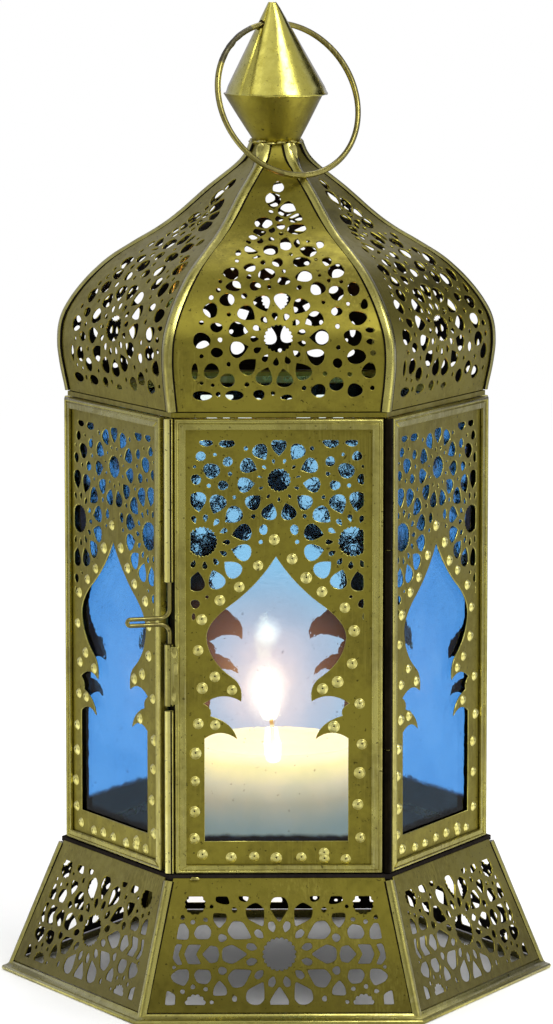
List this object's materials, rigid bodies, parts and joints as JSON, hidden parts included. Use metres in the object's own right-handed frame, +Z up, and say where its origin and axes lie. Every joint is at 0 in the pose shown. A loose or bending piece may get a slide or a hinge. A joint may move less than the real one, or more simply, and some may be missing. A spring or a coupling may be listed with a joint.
{
  "type": "oriental lantern",
  "caption": "Hexagonal pierced brass candle lantern with blue glass walls, hinged latching door, onion dome, flared base, double-cone finial and carrying ring.",
  "frame": {"origin": "centre of the foot's underside, on the axis of the lantern", "axes": "+Z up along the lantern's axis; -Y out through the door; +X towards the door's hinge side"},
  "size_m": [0.171, 0.148, 0.3],
  "materials": {
    "aged_brass": "antique olive brass, lightly polished pierced sheet with dark seams",
    "bright_brass": "brighter folded and rolled brass edges",
    "dark_brass": "dull dark inner brass and wire",
    "blue_glass": "sky-blue seedy glass with a slightly wavy face",
    "candle_wax": "pale satin wax",
    "wick_cotton": "charred cotton wick"
  },
  "bodies": {
    "root": {"foot_frame": "aged_brass", "floor_plate": "dark_brass", "top_plate": "aged_brass", "base_panel_1": "aged_brass", "base_panel_2": "aged_brass", "base_panel_3": "aged_brass", "base_panel_4": "aged_brass", "base_panel_5": "aged_brass", "base_panel_6": "aged_brass", "dome_panel_1": "aged_brass", "dome_panel_2": "aged_brass", "dome_panel_3": "aged_brass", "dome_panel_4": "aged_brass", "dome_panel_5": "aged_brass", "dome_panel_6": "aged_brass", "dome_rib_1": "bright_brass", "dome_rib_2": "bright_brass", "dome_rib_3": "bright_brass", "dome_rib_4": "bright_brass", "dome_rib_5": "bright_brass", "dome_rib_6": "bright_brass", "corner_post_1": "dark_brass", "corner_post_2": "dark_brass", "corner_post_3": "dark_brass", "corner_post_4": "dark_brass", "corner_post_5": "dark_brass", "corner_post_6": "dark_brass", "wall_2_frame": "bright_brass", "wall_2_sheet": "aged_brass", "wall_2_glass": "blue_glass", "wall_3_frame": "bright_brass", "wall_3_sheet": "aged_brass", "wall_3_glass": "blue_glass", "wall_4_frame": "bright_brass", "wall_4_sheet": "aged_brass", "wall_4_glass": "blue_glass", "wall_5_frame": "bright_brass", "wall_5_sheet": "aged_brass", "wall_5_glass": "blue_glass", "wall_6_frame": "bright_brass", "wall_6_sheet": "aged_brass", "wall_6_glass": "blue_glass", "hinge_pin": "dark_brass", "hinge_tube_lower": "bright_brass", "hinge_tube_upper": "bright_brass", "latch_tube_lower": "bright_brass", "latch_tube_upper": "bright_brass", "neck_spigot": "dark_brass", "finial_lower_cone": "bright_brass", "finial_upper_cone": "bright_brass", "candle": "candle_wax", "wick": "wick_cotton"},
    "door": {"door_frame": "bright_brass", "door_sheet": "aged_brass", "door_glass": "blue_glass", "door_hinge_knuckle": "bright_brass", "door_latch_knuckle": "bright_brass"},
    "latch": {"latch_wire": "dark_brass"},
    "ring": {"carry_ring": "aged_brass"}
  },
  "joints": [
    {"name": "door_swing", "type": "hinge", "parent": "root", "child": "door", "pos_m": [0.0325, -0.05629, 0.111], "axis": [0, 0, 1], "range_deg": [0, 160]},
    {"name": "latch_lift", "type": "slide", "parent": "root", "child": "latch", "axis": [0, 0, 1], "range_m": [-0.003, 0.0077]},
    {"name": "ring_swing", "type": "hinge", "parent": "root", "child": "ring", "pos_m": [0, 0, 0.2931], "axis": [0.866, 0.5, 0], "range_deg": [-317.5, 0]}
  ]
}
